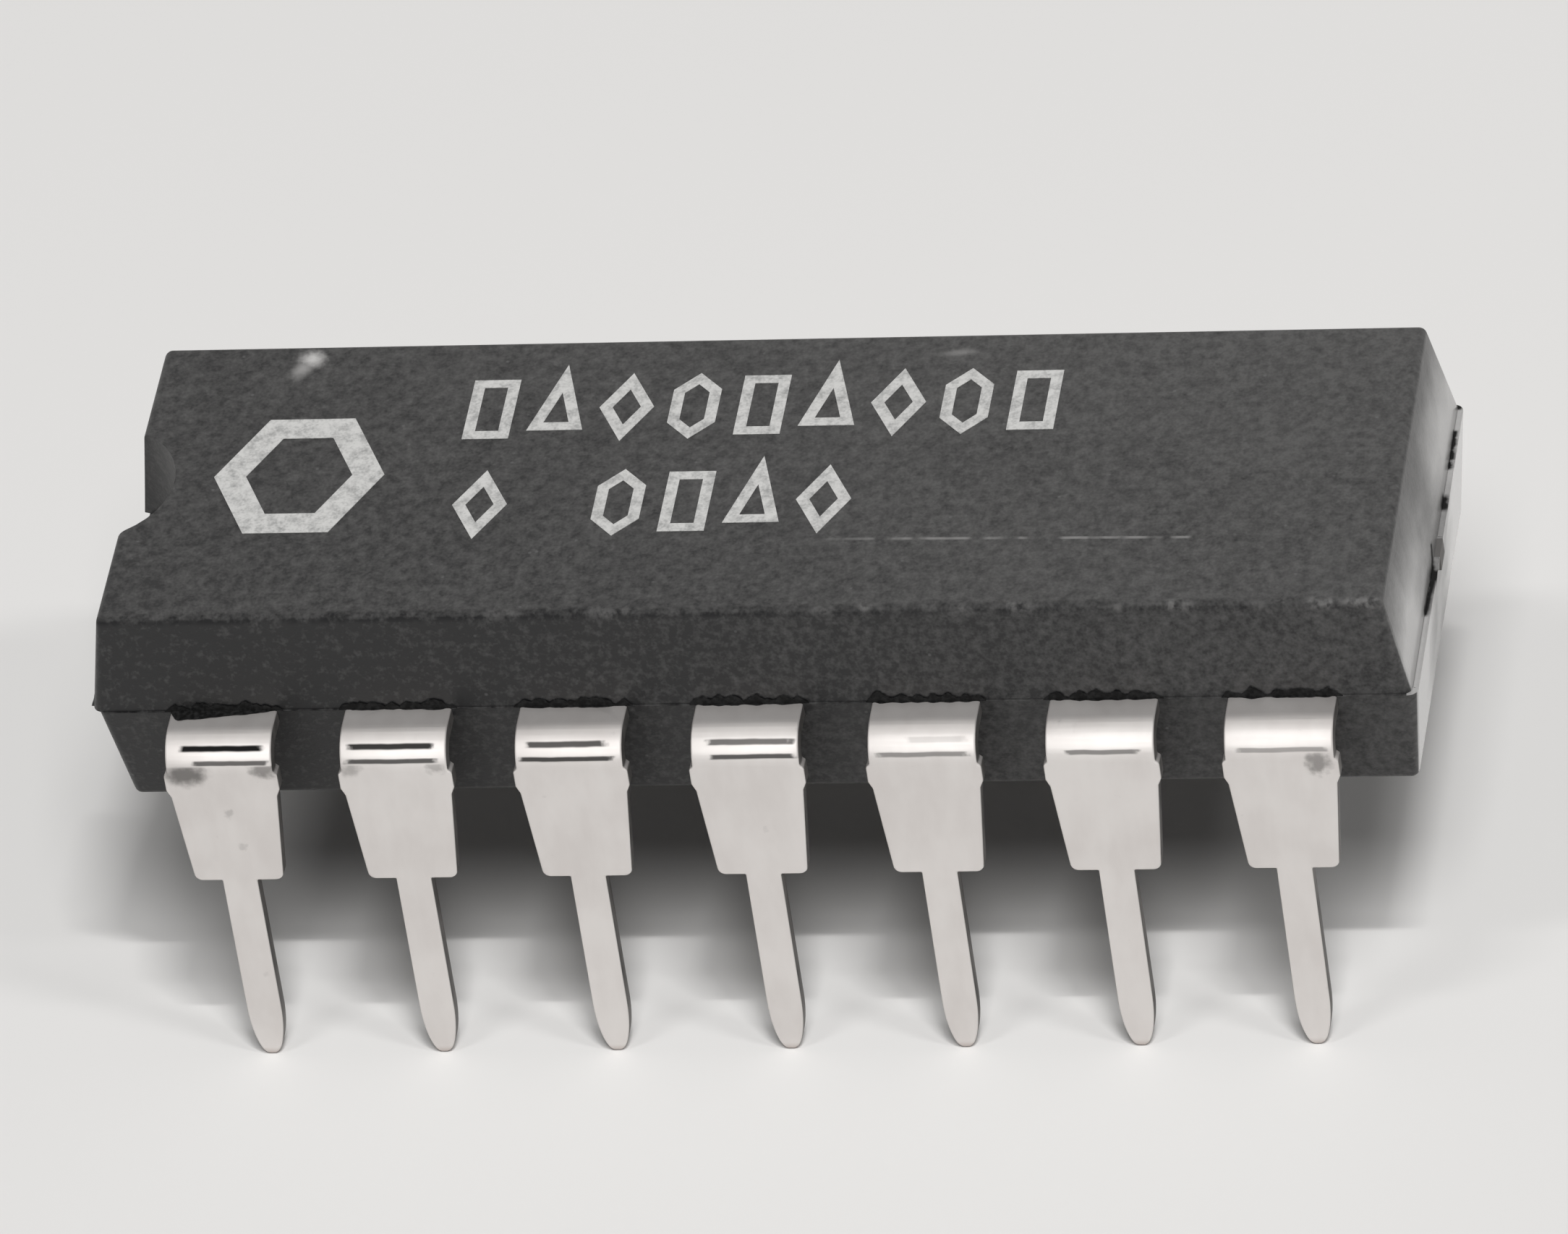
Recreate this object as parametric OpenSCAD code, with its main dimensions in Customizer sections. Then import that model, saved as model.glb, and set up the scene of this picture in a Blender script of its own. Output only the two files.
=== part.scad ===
// Dual in-line integrated circuit with 14 formed leads, at its real size in millimetres.
// The part stands on its lead tips at z = 0, with its length along X and the pin 1 notch at -X.

/* [Moulding] */
// Width of the moulding at the parting plane
body_w = 6.3; // [5.6:0.05:7.6]
// Length of the moulding beyond the middle of the last lead, at each end
end_l = 1.88; // [1.4:0.02:2.4]
// Height of the upper half, above the parting plane
upper_h = 1.6; // [1.3:0.05:2.0]
// Height of the lower half, below the parting plane
lower_h = 1.78; // [1.4:0.02:2.2]
// Draft of the upper half's end faces, in degrees
upper_end_draft = 10; // [4:0.5:12]
// Draft of the upper half's long sides, in degrees
upper_side_draft = 5; // [3:0.5:10]
// Draft of the lower half's end faces, in degrees
lower_end_draft = 6.5; // [4:0.5:12]
// Draft of the lower half's long sides, in degrees
lower_side_draft = 8; // [3:0.5:10]
// Radius along the moulding's top and bottom edges
edge_r = 0.12; // [0.06:0.01:0.2]
// Radius of the upright corners at the parting plane
corner_r = 0.14; // [0.08:0.01:0.25]
// Lengthwise mismatch of the two mould halves
shift_x = 0.08; // [0:0.01:0.14]
// Sideways mismatch of the two mould halves
shift_y = 0.03; // [0:0.01:0.06]

/* [Pin 1 notch and ejector marks] */
// Radius of the half-round notch
notch_r = 1.27; // [0.8:0.01:1.5]
// Depth of the notch, from the top edge of the end face
notch_in = 0.64; // [0.4:0.02:0.8]
// Diameter of the round ejector marks in the underside
ejector_d = 1.5; // [1:0.1:2]
// Depth of the ejector marks
ejector_deep = 0.06; // [0.03:0.01:0.1]
// Distance of each ejector mark from the end of the moulding
ejector_in = 2.3; // [1.4:0.1:3]

/* [Leads] */
// Spacing of the leads along a row
pitch = 2.54; // [2.4:0.01:2.8]
// Thickness of the lead frame strip
strip_t = 0.25; // [0.2:0.01:0.28]
// Width of a lead where it leaves the moulding and bends
lead_w = 1.55; // [1.3:0.05:1.6]
// How far the cut stubs of the dam bar stand out on each side of a lead
dam_out = 0.055; // [0.02:0.005:0.1]
// Height of the dam bar stubs
dam_h = 0.26; // [0.15:0.01:0.35]
// Width of the shoulder at the seating plane
shoulder_w = 1.31; // [1.1:0.01:1.5]
// Radius of the shoulder's lower corners
shoulder_r = 0.12; // [0.05:0.01:0.2]
// Width of the narrow pin
pin_w = 0.51; // [0.4:0.01:0.6]
// Length of the pin, from the seating plane to its tip
pin_l = 3.14; // [2.9:0.02:3.6]
// Length over which the pin's tip narrows
tip_l = 0.85; // [0.5:0.05:1.2]
// Width left at the very tip
tip_w = 0.08; // [0.06:0.01:0.25]
// Gap between the seating plane and the underside of the moulding
standoff = 0.61; // [0.4:0.01:0.9]
// Straight length of a lead between the moulding and its bend
exit_l = 0.33; // [0.2:0.01:0.6]
// Inner radius of the bend
bend_r = 0.25; // [0.15:0.01:0.3]
// Outward lean of the legs, in degrees
splay = 4.2; // [0:0.1:8]

/* [Lead frame inside the moulding] */
// Length of the full-width root that reaches into the moulding
root_l = 0.85; // [0.7:0.05:0.95]
// Diameter of the locking hole in each root
lock_d = 0.5; // [0.3:0.05:0.6]
// Width of the inner fingers
finger_w = 0.35; // [0.25:0.01:0.38]
// Length of the straight end of an inner finger
finger_end = 0.4; // [0.25:0.05:0.5]
// Width of the band in which the fingers turn towards the die pad
finger_turn = 0.38; // [0.36:0.02:0.6]
// Gap between neighbouring fingers, and round the die pad and its tie bars
frame_gap = 0.22; // [0.15:0.01:0.24]
// Spacing of the three finger tips along each side of the die pad
side_tip_pitch = 0.9; // [0.8:0.02:1.0]
// Length of the die pad
pad_l = 3.0; // [2.8:0.05:3.4]
// How far the die pad is set down from the fingers
pad_drop = 0.2; // [0.1:0.01:0.3]
// Width of the tie bars
tie_w = 0.4; // [0.25:0.01:0.4]

/* [Chip and bond wires] */
// Length of the chip
die_l = 1.8; // [1.5:0.05:2.4]
// Width of the chip
die_w = 1.5; // [1.3:0.05:2.0]
// Thickness of the chip
die_t = 0.28; // [0.2:0.01:0.35]
// Thickness of the adhesive under the chip
attach_t = 0.03; // [0.02:0.01:0.05]
// How far the adhesive stands out round the chip
attach_rim = 0.08; // [0.04:0.01:0.12]
// Spacing of the bond pads on the chip
bond_pitch = 0.3; // [0.24:0.01:0.34]
// Distance of the bond pads from the chip's edge
bond_in = 0.12; // [0.08:0.01:0.18]
// Diameter of the gold wire
wire_d = 0.025; // [0.02:0.001:0.033]
// Diameter of the ball at the wire's first end
ball_d = 0.08; // [0.06:0.005:0.1]
// Height of the ball
ball_h = 0.02; // [0.01:0.005:0.03]
// Rise of the wire loop above the chip
loop_h = 0.16; // [0.1:0.01:0.25]

/* [Hidden] */
row_pins = 7;
// Length of the moulding at the parting plane
body_l = (row_pins - 1)*pitch + 2*end_l;
// Heights of the underside and of the parting plane above the tips
under_z = pin_l + standoff;
part_z = under_z + lower_h;
// Each mould half is displaced by half of the mismatch
upper_at = [-shift_x/2, shift_y/2, part_z];
lower_at = [shift_x/2, -shift_y/2, part_z];
// Centre line of the bend, seen from the side
bend_out = bend_r + strip_t;
bend_y = body_w/2 + exit_l;
bend_z = part_z - bend_out;
// Length over which the formed part of a lead is one with the flat part
flat_lap = 0.1;
// Distance down a leg, from the end of its bend to a height above the tips
leg_top = bend_z + bend_r*sin(splay);
function leg_s(z) = (leg_top - z)/cos(splay);
// The dam bar stubs start just under the bend, and fade into the shoulder below
dam_w = lead_w + 2*dam_out;
dam_gap = 0.04;
dam_fade = 0.12;
// Inner end of the roots, and how far a finger starts inside its root
root_y = body_w/2 - root_l;
finger_lap = 0.1;
// The die pad is as wide as the roots and fingers of both rows leave room for
pad_w = 2*(root_y - finger_turn - finger_end - frame_gap);
// Upper faces of the die pad, of the adhesive and of the chip
pad_z = part_z - pad_drop;
die_z = pad_z + attach_t;
chip_z = die_z + die_t;
// The ramp in each tie bar, and its distance from the pad
ramp_l = 0.3;
ramp_gap = 0.4;
// The stitch at the wire's second end, and its distance from the finger's tip
stitch_l = 0.12;
stitch_w = 0.06;
stitch_h = 0.04;
stitch_in = 0.14;
// The wire leaves the ball upright and lands at a slant
wire_rise = 1.7;
wire_reach = 0.6;
wire_fall = 1.2;
wire_sides = 6;
wire_rings = 12;
mould_fn = 24;
round_fn = 48;
arc_step = 15;
sliver = 0.01;
overcut = 1;

MOULD_COLOR = [0.2, 0.2, 0.21];
TIN_COLOR = [0.8, 0.8, 0.78];
FRAME_COLOR = [0.72, 0.5, 0.36];
ATTACH_COLOR = [0.75, 0.72, 0.65];
DIE_COLOR = [0.35, 0.37, 0.45];
GOLD_COLOR = [0.95, 0.75, 0.3];

function numbered(name, n) = str(name, n < 10 ? "_0" : "_", n);
PINS = [1:2*row_pins];
LEADS = [for (n = PINS) numbered("lead", n)];
WIRES = [for (n = PINS) numbered("bond_wire", n)];

// Pins 1 to 7 run to +X along the front row, and pins 8 to 14 run back along the other.
// place counts from the middle of the row, and rank outwards from it, from 0 to 3.
function place(n) = n <= row_pins ? n - (row_pins + 1)/2 : (3*row_pins + 1)/2 - n;
function is_back(n) = n > row_pins;
function rank(k) = abs(k);

// Front row finger tips: ranks 0 and 1 end beside the pad, and ranks 3 and 2 at its end,
// counted out from the tie bar
function end_tip_y(k) = tie_w/2 + frame_gap + finger_w/2 + (3 - rank(k))*(finger_w + frame_gap);
function tip(k) = rank(k) < 2
    ? [k*side_tip_pitch, -(pad_w/2 + frame_gap)]
    : [sign(k)*(pad_l/2 + frame_gap), -end_tip_y(k)];
// Unit direction from the pad out along the straight end of a finger
function tip_out(k) = rank(k) < 2 ? [0, -1] : [sign(k), 0];

// Bond pad on the chip for a front row pin, beside the finger that it serves
function bond_pad(k) = rank(k) < 2
    ? [1.5*k*bond_pitch, -(die_w/2 - bond_in)]
    : [sign(k)*(die_l/2 - bond_in), -(rank(k) == 2 ? 1.5 : 0.5)*bond_pitch];

// A front row point in the plan, moved to a pin's own row
function in_row(n, p) = [p[0], is_back(n) ? -p[1] : p[1]];

module to_row(n) {
    if (is_back(n)) mirror([0, 1, 0]) children();
    else children();
}

// Centre of an edge's radius, tucked in from a drafted face so that both stay tangent
function tuck(draft) = edge_r*(1 - sin(draft))/cos(draft);

// One half of the moulding, upwards or downwards from its parting outline
module mould_half(h, end_draft, side_draft, up) {
    far_l = body_l/2 - h*tan(end_draft) - tuck(end_draft);
    far_w = body_w/2 - h*tan(side_draft) - tuck(side_draft);
    hull() {
        for (sx = [-1, 1], sy = [-1, 1]) {
            translate([sx*(body_l/2 - corner_r), sy*(body_w/2 - corner_r), up*sliver/2])
                cylinder(r = corner_r, h = sliver, center = true, $fn = mould_fn);
            translate([sx*far_l, sy*far_w, up*(h - edge_r)])
                sphere(r = edge_r, $fn = mould_fn);
        }
    }
}

// The pin 1 notch is a round cut in the upper half, down to the parting plane
module notch() {
    top_end = -(body_l/2 - upper_h*tan(upper_end_draft));
    translate([top_end + notch_in - notch_r, 0, 0] + upper_at)
        cylinder(r = notch_r, h = upper_h + overcut, $fn = round_fn);
}

module ejector_marks() {
    for (side = [-1, 1])
        translate([side*(body_l/2 - ejector_in), 0, under_z - overcut])
            cylinder(d = ejector_d, h = overcut + ejector_deep, $fn = round_fn);
}

module moulded_body() {
    color(MOULD_COLOR)
    difference() {
        union() {
            translate(upper_at) mould_half(upper_h, upper_end_draft, upper_side_draft, 1);
            translate(lower_at) mould_half(lower_h, lower_end_draft, lower_side_draft, -1);
        }
        notch();
        ejector_marks();
        for (n = PINS) {
            to_row(n) lead_inside(place(n));
            bond_wire(n);
        }
        die_pad(overcut);
        die_attach();
        silicon_die();
    }
}

// A finger of the lead frame through three points, with a mitred elbow
module finger(a, b, c) {
    half = finger_w/2;
    n1 = across(b - a);
    n2 = across(c - b);
    mitre = (n1 + n2)/(1 + n1*n2);
    polygon([a + half*n1, b + half*mitre, c + half*n2, c - half*n2, b - half*mitre, a - half*n1]);
}
function across(v) = [-v[1], v[0]]/norm(v);

// The part of a lead from its bend to its inner tip. The strip hangs from the parting plane.
module lead_inside(k) {
    x = k*pitch;
    translate([0, 0, part_z])
        mirror([0, 0, 1]) linear_extrude(strip_t)
            difference() {
                union() {
                    translate([x - lead_w/2, -bend_y]) square([lead_w, bend_y - root_y]);
                    finger([x, -(root_y + finger_lap)], tip(k) + finger_end*tip_out(k), tip(k));
                }
                translate([x, -(root_y + body_w/2)/2]) circle(d = lock_d, $fn = round_fn);
            }
}

// Half outline of bend and leg laid flat: x across it, y down it from the end of the bend
function leg_edge() =
    let (seat = leg_s(pin_l), foot = leg_s(0), dam = dam_gap + dam_h,
         round_x = shoulder_w/2 - shoulder_r, tip_x = (pin_w - tip_w)/2)
    concat(
        [[lead_w/2, -(bend_out + flat_lap)], [lead_w/2, 0]],
        [[dam_w/2, dam_gap], [dam_w/2, dam], [lead_w/2, dam + dam_fade]],
        [for (a = [0:arc_step:90]) [round_x + shoulder_r*cos(a), seat - shoulder_r*(1 - sin(a))]],
        [[pin_w/2, seat]],
        [for (a = [0:arc_step/2:90]) [tip_w/2 + tip_x*cos(a), foot - tip_l*(1 - sin(a))]]);

module leg_outline() {
    right = leg_edge();
    left = [for (i = [len(right) - 1:-1:0]) [-right[i][0], right[i][1]]];
    polygon(concat(right, left));
}

// Side view of bend and leg: x outwards from the centre of the bend, y up
module leg_profile() {
    far = 2*bend_out;
    foot = leg_s(0);
    translate([-flat_lap, bend_r]) square([flat_lap, strip_t]);
    intersection() {
        difference() {
            circle(r = bend_out, $fn = 2*round_fn);
            circle(r = bend_r, $fn = 2*round_fn);
        }
        polygon([[0, 0], [0, far], [far, far], [far, far*tan(splay)]]);
    }
    rotate(splay) translate([bend_r, -foot]) square([strip_t, foot]);
}

// The bend and the leg, about the middle of the front row: the side view cut to the outline
module formed_leg() {
    reach = bend_out + flat_lap;
    translate([0, -bend_y, bend_z])
        intersection() {
            rotate([90, 0, -90]) linear_extrude(dam_w + overcut, center = true) leg_profile();
            rotate([90 - splay, 0, 0])
                mirror([0, 1, 0]) linear_extrude(2*reach, center = true) leg_outline();
        }
}

module lead(n) {
    k = place(n);
    color(TIN_COLOR)
    to_row(n) {
        lead_inside(k);
        translate([k*pitch, 0, 0]) formed_leg();
    }
}

// Half of the pad's centre section: a ramp from the pad up to the tie bar in the strip
function tie_edge(end_x) =
    let (foot = pad_l/2 + ramp_gap)
    [[foot, -pad_drop], [foot + ramp_l, 0], [end_x, 0]];

// The ends of the tie bars are sheared off flush with the lower half. Before that they run on,
// so the moulding is formed round longer ones.
module tie_section(run_on) {
    right = tie_edge((body_l + shift_x)/2 + run_on);
    left = [for (p = tie_edge((body_l - shift_x)/2 + run_on)) [-p[0], p[1]]];
    upper = concat(reversed(left), right);
    polygon(concat(upper, [for (p = reversed(upper)) p - [0, strip_t]]));
}
function reversed(list) = [for (i = [len(list) - 1:-1:0]) list[i]];

module die_pad(run_on = 0) {
    color(FRAME_COLOR)
    translate([0, 0, part_z]) {
        translate([-pad_l/2, -pad_w/2, -(pad_drop + strip_t)]) cube([pad_l, pad_w, strip_t]);
        rotate([90, 0, 0]) linear_extrude(tie_w, center = true) tie_section(run_on);
    }
}

module plate(size_x, size_y, z, h) {
    translate([-size_x/2, -size_y/2, z]) cube([size_x, size_y, h]);
}

module die_attach() {
    color(ATTACH_COLOR)
    plate(die_l + 2*attach_rim, die_w + 2*attach_rim, pad_z, attach_t);
}

module silicon_die() {
    color(DIE_COLOR)
    plate(die_l, die_w, die_z, die_t);
}

// A point on the wire's curve, and the curve's direction there
function blend(c, t) = pow(1 - t, 3)*c[0] + 3*t*pow(1 - t, 2)*c[1] + 3*t*t*(1 - t)*c[2] + pow(t, 3)*c[3];
function heading(c, t) =
    let (v = pow(1 - t, 2)*(c[1] - c[0]) + 2*t*(1 - t)*(c[2] - c[1]) + t*t*(c[3] - c[2]))
    v/norm(v);

// A round wire swept along a curve of four control points that lies in one upright plane
module wire_sweep(c) {
    side = concat(across([c[3][0] - c[0][0], c[3][1] - c[0][1]]), 0);
    points = [for (i = [0:wire_rings], j = [0:wire_sides - 1])
        let (t = i/wire_rings, a = 360*j/wire_sides, up = cross(heading(c, t), side))
        blend(c, t) + wire_d/2*(cos(a)*side + sin(a)*up)];
    walls = [for (i = [0:wire_rings - 1], j = [0:wire_sides - 1])
        let (a = i*wire_sides + j, b = i*wire_sides + (j + 1)%wire_sides)
        each [[a, a + wire_sides, b + wire_sides], [a, b + wire_sides, b]]];
    first = [for (j = [0:wire_sides - 1]) j];
    last = [for (j = [wire_sides - 1:-1:0]) wire_rings*wire_sides + j];
    polyhedron(points, concat(walls, [first, last]));
}

module bond_wire(n) {
    k = place(n);
    start = in_row(n, bond_pad(k));
    end = in_row(n, tip(k) + stitch_in*tip_out(k));
    run = end - start;
    color(GOLD_COLOR) {
        translate([start[0], start[1], chip_z]) cylinder(d = ball_d, h = ball_h, $fn = 8);
        wire_sweep([
            [start[0], start[1], chip_z + ball_h/2],
            [start[0], start[1], chip_z + wire_rise*loop_h],
            concat(start + wire_reach*run, chip_z + wire_fall*loop_h),
            [end[0], end[1], part_z + stitch_h/2]]);
        translate([end[0], end[1], part_z])
            rotate([0, 0, atan2(run[1], run[0])])
                translate([-stitch_l/4, -stitch_w/2, 0]) cube([stitch_l, stitch_w, stitch_h]);
    }
}

moulded_body();
for (n = PINS) lead(n);
die_pad();
die_attach();
silicon_die();
for (n = PINS) bond_wire(n);
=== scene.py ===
"""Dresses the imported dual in-line chip: its moulding, tinned leads, lead frame, chip, wires and print."""
import math
import random

import bmesh
import bpy
from mathutils import Matrix, Vector, noise


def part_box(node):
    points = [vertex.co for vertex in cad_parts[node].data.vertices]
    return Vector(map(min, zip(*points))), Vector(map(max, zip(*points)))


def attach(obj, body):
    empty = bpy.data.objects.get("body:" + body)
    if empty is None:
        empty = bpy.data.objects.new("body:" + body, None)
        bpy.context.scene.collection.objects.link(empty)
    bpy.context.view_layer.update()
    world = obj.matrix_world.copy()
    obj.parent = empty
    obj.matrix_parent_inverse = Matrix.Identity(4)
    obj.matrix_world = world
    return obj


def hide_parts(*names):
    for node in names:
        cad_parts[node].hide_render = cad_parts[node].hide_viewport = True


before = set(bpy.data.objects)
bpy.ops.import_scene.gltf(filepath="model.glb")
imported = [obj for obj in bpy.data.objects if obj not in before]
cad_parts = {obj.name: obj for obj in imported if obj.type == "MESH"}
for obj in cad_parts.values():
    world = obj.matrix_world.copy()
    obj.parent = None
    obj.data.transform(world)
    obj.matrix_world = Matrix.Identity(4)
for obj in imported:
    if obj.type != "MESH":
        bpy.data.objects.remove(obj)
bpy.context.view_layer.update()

MM = 0.001
BODY = "root"
LEADS = sorted(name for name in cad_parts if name.startswith("lead_"))
WIRES = sorted(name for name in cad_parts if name.startswith("bond_wire_"))

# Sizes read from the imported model, in metres
BODY_LOW, BODY_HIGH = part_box("moulded_body")
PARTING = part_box(LEADS[3])[1].z
TOP = BODY_HIGH.z
HALF_LENGTH = (BODY_HIGH.x - BODY_LOW.x) / 2
HALF_WIDTH = (BODY_HIGH.y - BODY_LOW.y) / 2

# Sizes of the bend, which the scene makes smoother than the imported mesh
STRIP = 0.25 * MM
BEND_INNER = 0.25 * MM
SPLAY = math.radians(4.2)
BEND_STEPS = 22
EDGE_ROUND = 0.03 * MM
WELD = 0.0002 * MM

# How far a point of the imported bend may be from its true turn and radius
TURN_SLACK = 0.001
BEND_REACH = 1.3
RADIUS_SLACK = 0.15

# Angles below which faces count as flat, above which edges are rounded, and above which shading breaks
LEAD_FLAT = math.radians(0.6)
LEAD_SHARP = math.radians(40)
LEAD_CREASE = 50
BODY_FLAT = math.radians(0.3)
BODY_CREASE = 24

# The photograph's camera, fitted to the corners of the moulding and the leads
IMAGE_W, IMAGE_H = 2168, 1706
FOCAL_PX = 20246.8
ORIGIN_PX = (1151.68, 1170.13)
ORIGIN_DEPTH = 212.597 * MM
AZIMUTH = math.radians(14.720)
ELEVATION = math.radians(39.901)
ROLL = math.radians(10.420)
SENSOR = 36
CLIP = (0.01, 20)

BACKGROUND = (0.735, 0.725, 0.712)

# Colours of the finishes
COMPOUND_DARK, COMPOUND_PALE = (0.004, 0.004, 0.0045), (0.072, 0.071, 0.07)
FILLER_GRAIN = (0.16, 0.16, 0.16)
# Pale of the marks and of the painted highlight on the top front edge
PALE_MARKS_AND_HIGHLIGHT = (0.5, 0.49, 0.48)
# Painted sheen of the plain end
PAINTED_SHEEN = (0.6, 0.59, 0.58)
# Painted shade of the dents
DENT_SHADE = (0.001, 0.001, 0.001)
TIN_DULL, TIN_BRIGHT = (0.7, 0.665, 0.645), (0.78, 0.75, 0.73)
SMUDGE = (0.1, 0.095, 0.09)
# Painted reflection lines on the bends
REFLECTED_DARK = (0.008, 0.008, 0.008)
BARE_METAL = (0.3, 0.22, 0.18)
# Sheared sides, darkened partly by painted shade
SHEARED_AND_SHADED = (0.06, 0.057, 0.054)
COPPER_DULL, COPPER_BRIGHT = (0.66, 0.42, 0.28), (0.8, 0.55, 0.38)
CUT_METAL = (0.17, 0.165, 0.16)
FLAKE_DULL, FLAKE_BRIGHT = (0.5, 0.48, 0.44), (0.76, 0.74, 0.7)
SILICON_BLUE, SILICON_GREY = (0.1, 0.13, 0.2), (0.3, 0.27, 0.3)
ALUMINIUM = (0.62, 0.6, 0.55)
GOLD_DEEP, GOLD_PALE = (0.85, 0.58, 0.2), (0.98, 0.74, 0.32)
# Resin, and the painted shade of the seams above the leads
RESIN_AND_SHADE_DARK, RESIN_AND_SHADE_PALE = (0.002, 0.002, 0.002), (0.016, 0.016, 0.016)
INK_THIN, INK_FULL = (0.3, 0.3, 0.295), (0.6, 0.595, 0.58)
BAND_BLACK = (0.02, 0.02, 0.02)


# Node trees


def joined(operation, swapped=False):
    """An operator that adds a Math node for two values."""
    def method(self, other=0.0):
        pair = (other, self) if swapped else (self, other)
        return self.tree.node("ShaderNodeMath", *pair, operation=operation)
    return method


class Wire:
    """A socket used in an expression. Each operator adds a Math node to its tree."""
    def __init__(self, tree, socket):
        self.tree = tree
        self.socket = socket

    __add__ = joined("ADD")
    __radd__ = joined("ADD", True)
    __sub__ = joined("SUBTRACT")
    __rsub__ = joined("SUBTRACT", True)
    __mul__ = joined("MULTIPLY")
    __rmul__ = joined("MULTIPLY", True)
    __truediv__ = joined("DIVIDE")
    __pow__ = joined("POWER")
    __gt__ = joined("GREATER_THAN")
    __lt__ = joined("LESS_THAN")
    __abs__ = joined("ABSOLUTE")
    least = joined("MINIMUM")
    most = joined("MAXIMUM")

    def clip(self):
        """The value held between 0 and 1."""
        return self.tree.node("ShaderNodeClamp", self)

    def ramp(self, start, end):
        """0 at start and 1 at end, smooth between them."""
        return self.tree.node("ShaderNodeMapRange", self, start, end, interpolation_type="SMOOTHSTEP")


class Tree:
    """Builds one node tree, of a material, of the world or of Geometry Nodes."""
    def __init__(self, tree):
        self.tree = tree
        tree.nodes.clear()

    def node(self, kind, *values, out=0, at=None, **settings):
        """Adds a node with its settings and its sockets' values. Returns one output."""
        made = self.tree.nodes.new(kind)
        for name, value in settings.items():
            setattr(made, name, value)
        for key, value in list(enumerate(values)) + list((at or {}).items()):
            if isinstance(value, Wire):
                self.tree.links.new(value.socket, made.inputs[key])
            else:
                made.inputs[key].default_value = value
        return Wire(self, made.outputs[out]) if made.outputs else made

    def outputs(self, wire, *names):
        """Other outputs of a wire's node."""
        return [Wire(self, wire.socket.node.outputs[name]) for name in names]


class Paint(Tree):
    """The node tree of one material, with the object's own coordinates in millimetres."""
    def __init__(self, name):
        self.material = bpy.data.materials.new(name)
        self.material.use_nodes = True
        super().__init__(self.material.node_tree)
        place = self.node("ShaderNodeTexCoord", out="Object")
        self.mm = self.node("ShaderNodeVectorMath", place, operation="SCALE", at={"Scale": 1 / MM})
        split = self.node("ShaderNodeSeparateXYZ", self.mm)
        self.x, self.y, self.z = self.outputs(split, "X", "Y", "Z")

    def cloud(self, per_mm, detail=2.0, stretch=None, roughness=0.5, w=0.0):
        """Smooth noise about 0.5, with so many features to the millimetre."""
        where = self.mm
        if stretch:
            where = self.node("ShaderNodeVectorMath", where, stretch, operation="MULTIPLY")
        return self.node("ShaderNodeTexNoise", noise_dimensions="4D", at={
            "Vector": where, "W": w, "Scale": per_mm, "Detail": detail, "Roughness": roughness})

    def mix(self, share, first, second):
        """A colour between two, by a share from 0 to 1."""
        made = self.node("ShaderNodeMix", data_type="RGBA", out=2)
        mixer = made.socket.node
        for key, value in ((0, share), (6, first), (7, second)):
            if isinstance(value, Wire):
                self.tree.links.new(value.socket, mixer.inputs[key])
            else:
                mixer.inputs[key].default_value = (*value, 1.0)
        return made

    def bump(self, height, distance):
        """Relief of a height in 0 to 1, so many millimetres deep."""
        return self.node("ShaderNodeBump", at={"Strength": 1.0, "Distance": distance * MM, "Height": height})

    def near(self, x, y, reach, narrow=1.0, turn=0.0, fuzz=0.0):
        """1 at a spot seen from above, fading to 0 at its reach, with a ragged rim."""
        c, s = math.cos(turn), math.sin(turn)
        along = (self.x - x) * c + (self.y - y) * s
        across = ((self.y - y) * c - (self.x - x) * s) * narrow
        distance = (along * along + across * across) ** 0.5
        if fuzz:
            distance = distance + (self.cloud(14, 3) - 0.5) * fuzz
        return 1 - distance.ramp(0.0, reach)

    def finish(self, colour, **sockets):
        """Connects the surface shader. Fixed values are set on its own sockets."""
        values = {"Base Color": colour if isinstance(colour, Wire) else (*colour, 1.0)}
        values.update({name.replace("_", " "): value for name, value in sockets.items()})
        shader = self.node("ShaderNodeBsdfPrincipled", at=values)
        self.node("ShaderNodeOutputMaterial", shader)
        return self.material


# Materials


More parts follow.
